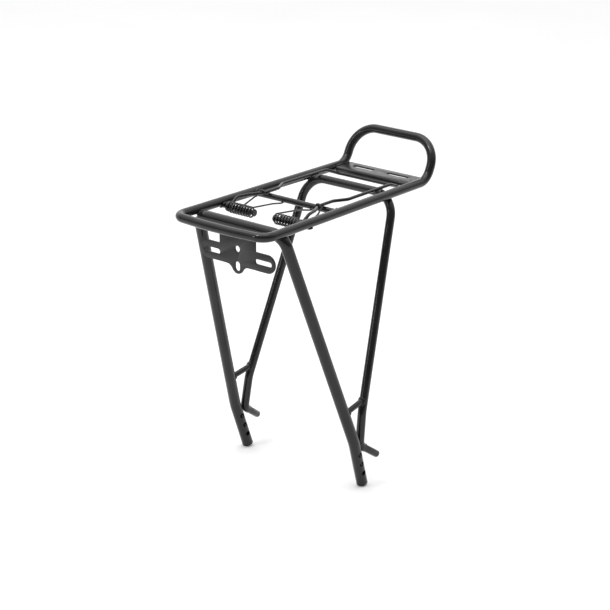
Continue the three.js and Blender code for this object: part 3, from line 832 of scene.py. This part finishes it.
def foot_plug(side, sign):
    """The moulded plug: a rounded head against the tube's end and a stem inside it."""
    foot, up = foot_line(sign)
    stem = REAR_LEG_RADIUS - REAR_LEG_WALL - PLUG_STEM_CLEARANCE
    profile = [(0, -PLUG_STEM_LENGTH), (stem - PLUG_STEM_TAPER, -PLUG_STEM_LENGTH)]
    profile += [(stem, -PLUG_STEM_TAPER_START), (stem, PLUG_SEAT)]
    profile += [(REAR_LEG_RADIUS - PLUG_HEAD_EASE, PLUG_SEAT), (REAR_LEG_RADIUS, PLUG_HEAD_EASE_END)]
    profile += round_edge(REAR_LEG_RADIUS, PLUG_THICKNESS, PLUG_ROUND, rising=False)
    profile += [(REAR_LEG_RADIUS * CROWN_SHARE, PLUG_THICKNESS), (0, PLUG_THICKNESS)]
    plug = turned(f"{side}_foot_plug_moulded", profile, foot, -up, TUBE_SIDES, PLUG_PLASTIC)
    return fit(plug, "frame", "black_plastic", f"{side}_foot_plug")


def pivot_pin(side, sign):
    """A pin from inside the rail to its rounded head, which keeps the spring on."""
    outer = rail_half_width(CLIP_AXIS_X) - RAIL_RADIUS / 2
    length = outer - PIN_INNER_Y
    shoulder = length - PIN_HEAD_THICKNESS
    profile = [(0, 0), (PIN_RADIUS, 0), (PIN_RADIUS, shoulder), (PIN_HEAD_RADIUS - PIN_HEAD_EASE, shoulder)]
    profile += [(PIN_HEAD_RADIUS, shoulder + PIN_HEAD_EASE)]
    profile += round_edge(PIN_HEAD_RADIUS, length, PIN_HEAD_ROUND, rising=False)
    profile += [(PIN_HEAD_RADIUS * CROWN_SHARE, length), (0, length)]
    start = place(CLIP_AXIS_X, sign * outer, CLIP_AXIS_Z)
    pin = turned(f"{side}_pivot_pin_painted", profile, start, Vector((0, -sign, 0)), TUBE_SIDES, TUBE_PAINT)
    return fit(pin, "frame", "black_paint", f"{side}_pivot_pin")


# ------------------------------------------------------------------ plates


def slot_outline(centre, reach, radius, upright=False):
    """A round-ended slot. reach is from its centre to the centres of its ends."""
    quarter = math.pi / 2
    if upright:
        first = arc((centre[0], centre[1] + reach), radius, 0, 2 * quarter)
        return first + arc((centre[0], centre[1] - reach), radius, 2 * quarter, 4 * quarter)
    first = arc((centre[0] + reach, centre[1]), radius, -quarter, quarter)
    return first + arc((centre[0] - reach, centre[1]), radius, quarter, 3 * quarter)


def front_plate_side():
    """The front plate seen from the side, as (x, z): flat on top, with a bend into its rear lip."""
    bend = (PLATE_REAR_X + PLATE_BEND_RADIUS, PLATE_TOP_Z - PLATE_BEND_RADIUS)
    lip_z = PLATE_TOP_Z - PLATE_LIP_DEPTH
    outline = [(PLATE_FRONT_X, PLATE_TOP_Z)]
    outline += arc(bend, PLATE_BEND_RADIUS, math.pi / 2, math.pi)
    outline += [(PLATE_REAR_X, lip_z), (PLATE_REAR_X + PLATE_THICKNESS, lip_z)]
    outline += arc(bend, PLATE_BEND_RADIUS - PLATE_THICKNESS, math.pi, math.pi / 2)
    outline += [(PLATE_FRONT_X, PLATE_TOP_Z - PLATE_THICKNESS)]
    return outline


def plate_slot_cutter(sign):
    radius = PLATE_SLOT_RADIUS
    middle = sign * (PLATE_SLOT_INNER_Y + PLATE_SLOT_OUTER_Y) / 2
    reach = (PLATE_SLOT_OUTER_Y - PLATE_SLOT_INNER_Y) / 2 - radius
    outline = slot_outline((PLATE_SLOT_X, middle), reach, radius, upright=True)
    return prism("slot", outline, place, -2 * PLATE_THICKNESS, 2 * PLATE_THICKNESS, PLATE_PAINT)


def front_plate():
    low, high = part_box("front_plate")
    half = (high.y - low.y) / 2 / MM
    plate = prism(
        "front_plate_painted", front_plate_side(), lambda x, z, y: place(x, y, z), -half, half, PLATE_PAINT
    )
    cut_away(plate, [plate_slot_cutter(1), plate_slot_cutter(-1)])
    ease_edges(plate, EDGE_ROUND)
    return fit(plate, "frame", "black_paint", "front_plate")


def bracket_outline():
    """The bracket seen from behind, as (y, z): block, round-ended wings, and a tongue below."""
    block = BRACKET_BLOCK_HALF_WIDTH
    end_radius = BRACKET_WING_HEIGHT / 2
    end_y = BRACKET_WING_HALF_WIDTH - end_radius
    wing_top = BRACKET_SLOT_Z + end_radius
    wing_bottom = BRACKET_SLOT_Z - end_radius
    fillet = BRACKET_FILLET_RADIUS
    fillet_z = wing_bottom - fillet
    drop = BRACKET_TONGUE_Z - fillet_z
    fillet_y = math.sqrt((BRACKET_TONGUE_RADIUS + fillet) ** 2 - drop**2)
    touch = math.atan2(drop, fillet_y)
    quarter = math.pi / 2
    outline = [(-block, BRACKET_TOP_Z), (-block, wing_top)]
    outline += arc((-end_y, BRACKET_SLOT_Z), end_radius, quarter, 3 * quarter, 2 * ARC_STEPS)
    outline += arc((-fillet_y, fillet_z), fillet, quarter, touch)
    tongue = (0.0, BRACKET_TONGUE_Z)
    outline += arc(tongue, BRACKET_TONGUE_RADIUS, math.pi + touch, 2 * math.pi - touch, 2 * ARC_STEPS)[1:-1]
    outline += arc((fillet_y, fillet_z), fillet, math.pi - touch, quarter)
    outline += arc((end_y, BRACKET_SLOT_Z), end_radius, -quarter, quarter, 2 * ARC_STEPS)
    outline += [(block, wing_top), (block, BRACKET_TOP_Z)]
    return outline


def bracket_cutters():
    middle = (BRACKET_SLOT_INNER_Y + BRACKET_SLOT_OUTER_Y) / 2
    reach = (BRACKET_SLOT_OUTER_Y - BRACKET_SLOT_INNER_Y) / 2 - BRACKET_SLOT_RADIUS
    keyhole_reach = BRACKET_KEYHOLE_HEIGHT / 2 - BRACKET_KEYHOLE_RADIUS
    outlines = [
        slot_outline((middle, BRACKET_SLOT_Z), reach, BRACKET_SLOT_RADIUS),
        slot_outline((-middle, BRACKET_SLOT_Z), reach, BRACKET_SLOT_RADIUS),
        slot_outline((0.0, BRACKET_TONGUE_Z), keyhole_reach, BRACKET_KEYHOLE_RADIUS, upright=True),
        arc((0.0, BRACKET_HOLE_Z), BRACKET_HOLE_RADIUS, 0, 2 * math.pi, 3 * ARC_STEPS)[:-1],
    ]
    low = BRACKET_BACK_X - BRACKET_THICKNESS
    high = BRACKET_BACK_X + 2 * BRACKET_THICKNESS
    return [prism("hole", o, lambda y, z, x: place(x, y, z), low, high, PLATE_PAINT) for o in outlines]


def rear_light_bracket():
    low = BRACKET_BACK_X
    high = BRACKET_BACK_X + BRACKET_THICKNESS
    bracket = prism(
        "rear_light_bracket_painted", bracket_outline(), lambda y, z, x: place(x, y, z), low, high, PLATE_PAINT
    )
    cut_away(bracket, bracket_cutters())
    ease_edges(bracket, EDGE_ROUND)
    return fit(bracket, "frame", "black_paint", "rear_light_bracket")


# ------------------------------------------------------------------ weld beads


def distance_to_path(point, path):
    """The shortest distance from a point to a path's straight pieces."""
    points = np.array([tuple(p) for p in path])
    starts = points[:-1]
    steps = points[1:] - starts
    arms = np.array(point) - starts
    share = np.clip((arms * steps).sum(1) / (steps * steps).sum(1), 0, 1)
    return float(np.linalg.norm(arms - steps * share[:, None], axis=1).min())


def closest_approach(path_a, path_b):
    """The points of two paths that lie closest to each other."""
    a = np.array([tuple(p) for p in path_a])
    b = np.array([tuple(p) for p in path_b])
    gaps = np.linalg.norm(a[:, None] - b[None], axis=2)
    i, j = np.unravel_index(gaps.argmin(), gaps.shape)
    return Vector(a[i]), Vector(b[j])


def bead_point(centre, outward, normal, gap_a, gap_b, reach):
    """The nearest point out along a ray that lies just outside both surfaces and is as far from each."""
    step = WELD_SEARCH_STEP * MM
    lift = 0.0
    for i in range(int(reach * MM / step)):
        point = centre + outward * (i * step)
        for _ in range(WELD_SEARCH_ROUNDS):
            lift -= 0.5 * (gap_a(point + normal * lift) - gap_b(point + normal * lift))
        spot = point + normal * lift
        if gap_a(spot) > WELD_STAND_OFF * MM and gap_b(spot) > WELD_STAND_OFF * MM:
            return spot
    return None


def weld_loop(centre, normal, tube_a, tube_b, reach):
    """The runs of points of a bead round the place where two tubes meet. A tube is (path, radius)."""

    def gap_a(point):
        return distance_to_path(point, tube_a[0]) - tube_a[1] * MM

    def gap_b(point):
        return distance_to_path(point, tube_b[0]) - tube_b[1] * MM

    across = normal.orthogonal().normalized()
    spots = []
    for i in range(WELD_POINTS):
        outward = Quaternion(normal, 2 * math.pi * i / WELD_POINTS) @ across
        spots.append(bead_point(centre, outward, normal, gap_a, gap_b, reach))
    return split_runs(spots)


def split_runs(spots):
    """Closed or open runs of the points that were found."""
    if all(spots):
        return [(spots, True)]
    if not any(spots):
        return []
    first = next(i for i, spot in enumerate(spots) if spot is None)
    runs = [[]]
    for spot in spots[first:] + spots[:first]:
        if spot is None:
            runs.append([])
        else:
            runs[-1].append(spot)
    return [(run, False) for run in runs if len(run) > 3]


def weld_bead(name, points, closed, radius=WELD_RADIUS):
    """A rippled bead: its thickness rises and falls as the weld was laid."""
    points = fine_points(points, closed)
    count = len(points)
    rng = np.random.default_rng(SEED + len(name) + count)
    lumps = rng.uniform(-WELD_LUMPS, WELD_LUMPS, count)

    def ripple(i, angle):
        end = 1.0 if closed else min(1.0, WELD_TIP + WELD_TIP_RISE * min(i, count - 1 - i))
        return end * (1.0 + WELD_RIPPLE * abs(math.sin(i * WELD_RIPPLE_PACE)) + lumps[i])

    bead = sweep(name, points, radius, WELD_SIDES, WELD_PAINT, closed=closed, radius_at=ripple)
    bead.data.set_sharp_from_angle(angle=math.pi)
    return fit(bead, "frame", "black_paint")


def fine_points(points, closed):
    """Evenly spaced points along a run."""
    spacing = WELD_SPACING * MM
    ends = points[1:] + points[:1] if closed else points[1:]
    fine = []
    for start, end in zip(points, ends):
        pieces = max(1, round((end - start).length / spacing))
        fine += [start.lerp(end, j / pieces) for j in range(pieces)]
    if not closed:
        fine.append(points[-1])
    return fine


def weld_crossing(name, tube_a, tube_b, reach):
    """Beads round the place where two tubes lie against each other."""
    a, b = closest_approach(tube_a[0], tube_b[0])
    normal = (b - a).normalized()
    centre = a + normal * (tube_a[1] * MM)
    for i, (run, closed) in enumerate(weld_loop(centre, normal, tube_a, tube_b, reach)):
        weld_bead(f"{name}_weld_{i + 1}", run, closed)


def weld_end(name, rod, at_start, tube):
    """A bead round a rod's end where it runs into a tube. The rod's path ends inside the tube.

    The normal points into the tube, because the search backs out against it.
    """
    path, radius = rod
    end = path[0] if at_start else path[-1]
    inner = path[1] if at_start else path[-2]
    normal = (end - inner).normalized()
    centre = end - normal * (tube[1] * MM)
    reach = radius + ROD_WELD_REACH
    for i, (run, closed) in enumerate(weld_loop(centre, normal, rod, tube, reach)):
        weld_bead(f"{name}_weld_{i + 1}", run, closed)


def stitch(name, start, end, radius=WELD_RADIUS):
    weld_bead(name, [start, end], closed=False, radius=radius)


def side_of(path, sign):
    return [p for p in path if p.y * sign > 0]


def tube_welds(side, sign):
    """The beads that hold one side's tubes and rods together."""
    rail = (side_of(PLATFORM_PATH, sign), RAIL_RADIUS)
    rear_leg = (side_of(REAR_LEG_PATH, sign), REAR_LEG_RADIUS)
    front_leg = (side_of(FRONT_LEG_PATH, sign), FRONT_LEG_RADIUS)
    weld_crossing(f"{side}_rear_leg_to_rail", rear_leg, rail, REAR_LEG_WELD_REACH)
    weld_crossing(f"{side}_front_leg_to_rail", front_leg, rail, FRONT_LEG_WELD_REACH)
    weld_crossing(f"{side}_front_leg_to_rear_leg", front_leg, rear_leg, LEGS_WELD_REACH)
    brace = (list(brace_ends(sign)), BRACE_RADIUS)
    weld_end(f"{side}_brace_rear", brace, True, rear_leg)
    weld_end(f"{side}_brace_front", brace, False, front_leg)
    crossbar = (list(crossbar_ends()), CROSSBAR_RADIUS)
    weld_end(f"{side}_crossbar", crossbar, sign < 0, rail)
    outer = rail_half_width(CLIP_AXIS_X)
    pin_path = [place(CLIP_AXIS_X, sign * y, CLIP_AXIS_Z) for y in (outer, PIN_WELD_INNER_Y)]
    weld_end(f"{side}_pin", (pin_path, PIN_RADIUS), True, rail)


def plate_welds(side, sign):
    """Short beads that hold the front plate and the light bracket."""
    for i, (start_x, end_x) in enumerate(PLATE_WELD_SPANS):
        name = f"{side}_plate_weld_{i + 1}"
        start_y = sign * (rail_half_width(start_x) - RAIL_RADIUS + PLATE_WELD_OVERLAP)
        end_y = sign * (rail_half_width(end_x) - RAIL_RADIUS + PLATE_WELD_OVERLAP)
        stitch(name, place(start_x, start_y, PLATE_TOP_Z), place(end_x, end_y, PLATE_TOP_Z))
    z = BRACKET_TOP_Z + BRACKET_WELD_RAISE
    x = BRACKET_BACK_X + BRACKET_THICKNESS / 2
    start = place(x, sign * BRACKET_WELD_INNER_Y, z)
    end = place(x, sign * BRACKET_WELD_OUTER_Y, z)
    stitch(f"{side}_bracket_weld", start, end, BRACKET_WELD_RADIUS)


# ------------------------------------------------------------------ spring clip


def clip_eye(side, sign):
    """The flattened eye at the end of an arm, with rounded edges and a bore for the pin."""
    half = EYE_THICKNESS / 2
    outline = round_edge(EYE_RADIUS, -half, EYE_ROUND, rising=True)
    outline += round_edge(EYE_RADIUS, half, EYE_ROUND, rising=False)
    ring = [(EYE_BORE_RADIUS, -half)] + outline + [(EYE_BORE_RADIUS, half)]
    centre = place(CLIP_AXIS_X, sign * EYE_Y, CLIP_AXIS_Z)
    vertices = []
    for radius, distance in ring:
        for k in range(TUBE_SIDES):
            angle = 2 * math.pi * k / TUBE_SIDES
            arm = Vector((radius * math.cos(angle), distance, radius * math.sin(angle)))
            vertices.append(centre + arm * MM)
    faces = []
    count = len(ring)
    for i in range(count):
        low = i * TUBE_SIDES
        high = (i + 1) % count * TUBE_SIDES
        for k in range(TUBE_SIDES):
            after = (k + 1) % TUBE_SIDES
            faces.append((low + k, low + after, high + after, high + k))
    eye = new_object(f"{side}_clip_eye", vertices, faces, CLIP_PAINT)
    return fit(eye, "clip", "clip_paint")


def clip_bail():
    wire = sweep("clip_bail_painted", clip_path(), CLIP_WIRE_RADIUS, WIRE_SIDES, CLIP_PAINT)
    return fit(wire, "clip", "clip_paint", "clip_bail")


def coil_points(sign):
    """A spring's coil, from its inner end at the top to its outer end at the bottom."""
    centre = place(CLIP_AXIS_X, 0, CLIP_AXIS_Z)
    steps = round(SPRING_TURNS * COIL_STEPS_PER_TURN)
    points = []
    for i in range(steps + 1):
        angle = math.pi / 2 + 2 * math.pi * SPRING_TURNS * i / steps
        y = sign * mix(SPRING_INNER_Y, SPRING_OUTER_Y, i / steps)
        arm = Vector((math.cos(angle), 0, math.sin(angle))) * (SPRING_MEAN_RADIUS * MM)
        points.append(centre + arm + Vector((0, y * MM, 0)))
    return points


def spring_leg(name, start, corners, sign, body):
    """A spring's straight leg. It starts inside the coil's end and rides on one body."""
    spots = [start] + [on_side(corner, sign) for corner in corners]
    radii = [corner[3] for corner in corners[:-1]]
    leg = sweep(name, bent_path(spots, radii), SPRING_WIRE_RADIUS, WIRE_SIDES, SPRING_STEEL)
    return fit(leg, body, "spring_steel")


def torsion_spring(side, sign):
    """The coil winds up between the fixed frame and the clip, and its two legs follow one each."""
    points = coil_points(sign)
    coil = sweep(f"{side}_spring_coil", points, SPRING_WIRE_RADIUS, WIRE_SIDES, SPRING_STEEL)
    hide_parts(f"{side}_torsion_spring")
    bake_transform(coil)
    spring_leg(f"{side}_spring_bar_leg", points[0], SPRING_BAR_LEG, sign, "frame")
    spring_leg(f"{side}_spring_hook_leg", points[-1], SPRING_HOOK_LEG, sign, "clip")


# ------------------------------------------------------------------ camera, room and light


def add_camera():
    data = bpy.data.cameras.new("camera")
    data.lens = CAMERA_LENS
    data.shift_x = CAMERA_SHIFT_X
    data.shift_y = CAMERA_SHIFT_Y
    camera = bpy.data.objects.new("camera", data)
    bpy.context.scene.collection.objects.link(camera)
    flat = math.cos(CAMERA_DROP)
    look = Vector((
        flat * math.cos(CAMERA_HEADING),
        flat * math.sin(CAMERA_HEADING),
        -math.sin(CAMERA_DROP),
    ))
    camera.location = Vector(CAMERA_TARGET) - look * CAMERA_DISTANCE
    camera.rotation_euler = look.to_track_quat("-Z", "Y").to_euler()
    bpy.context.scene.camera = camera


def add_floor():
    """A floor so wide that its far edge is never near the rack."""
    half = FLOOR_SIZE / 2
    height = cad_bounds[0][2] - FLOOR_DROP
    corners = [Vector((x * half, y * half, height)) for x, y in ((-1, -1), (1, -1), (1, 1), (-1, 1))]
    floor = new_object("floor", corners, [(0, 1, 2, 3)], floor_paint("floor_paint"))


def add_softbox(name, place_at, aim, size, power):
    data = bpy.data.lights.new(name, "AREA")
    data.shape = "RECTANGLE"
    data.size = size[0]
    data.size_y = size[1]
    data.energy = power
    light = bpy.data.objects.new(name, data)
    bpy.context.scene.collection.objects.link(light)
    light.location = place_at
    light.rotation_euler = (Vector(aim) - Vector(place_at)).to_track_quat("-Z", "Y").to_euler()


def light_world():
    """A studio that is bright overhead and behind the rack and dim behind the camera."""
    world = bpy.data.worlds.new("studio")
    bpy.context.scene.world = world
    world.use_nodes = True
    tree = world.node_tree
    background = tree.nodes["Background"]
    direction = tree.nodes.new("ShaderNodeTexCoord").outputs["Generated"]
    dot = tree.nodes.new("ShaderNodeVectorMath")
    dot.operation = "DOT_PRODUCT"
    tree.links.new(direction, dot.inputs[0])
    dot.inputs[1].default_value = Vector(BRIGHT_SIDE).normalized()
    share = add_node(tree, "ShaderNodeMapRange")
    share.inputs["From Min"].default_value = -1.0
    tree.links.new(dot.outputs["Value"], share.inputs["Value"])
    tree.links.new(ramp(tree, share.outputs["Result"], WORLD_STOPS), background.inputs["Color"])
    background.inputs["Strength"].default_value = WORLD_STRENGTH


def light_room():
    light_world()
    for name, spot, size, power in SOFTBOXES:
        add_softbox(name, spot, LIGHT_TARGET, size, power)


# ------------------------------------------------------------------ assembly

add_camera()
PLATFORM_PATH = platform_path()
REAR_LEG_PATH = rear_leg_path()
FRONT_LEG_PATH = front_leg_path()

platform_tube()
rear_leg_tube()
front_leg_tube()
middle_crossbar()
front_plate()
rear_light_bracket()
clip_bail()
for side_name, side_sign in SIDES:
    lower_brace(side_name, side_sign)
    strap_peg(side_name, side_sign)
    foot_plug(side_name, side_sign)
    pivot_pin(side_name, side_sign)
    clip_eye(side_name, side_sign)
    torsion_spring(side_name, side_sign)
    tube_welds(side_name, side_sign)
    plate_welds(side_name, side_sign)

add_floor()
light_room()
bpy.context.scene.view_settings.view_transform = "Standard"
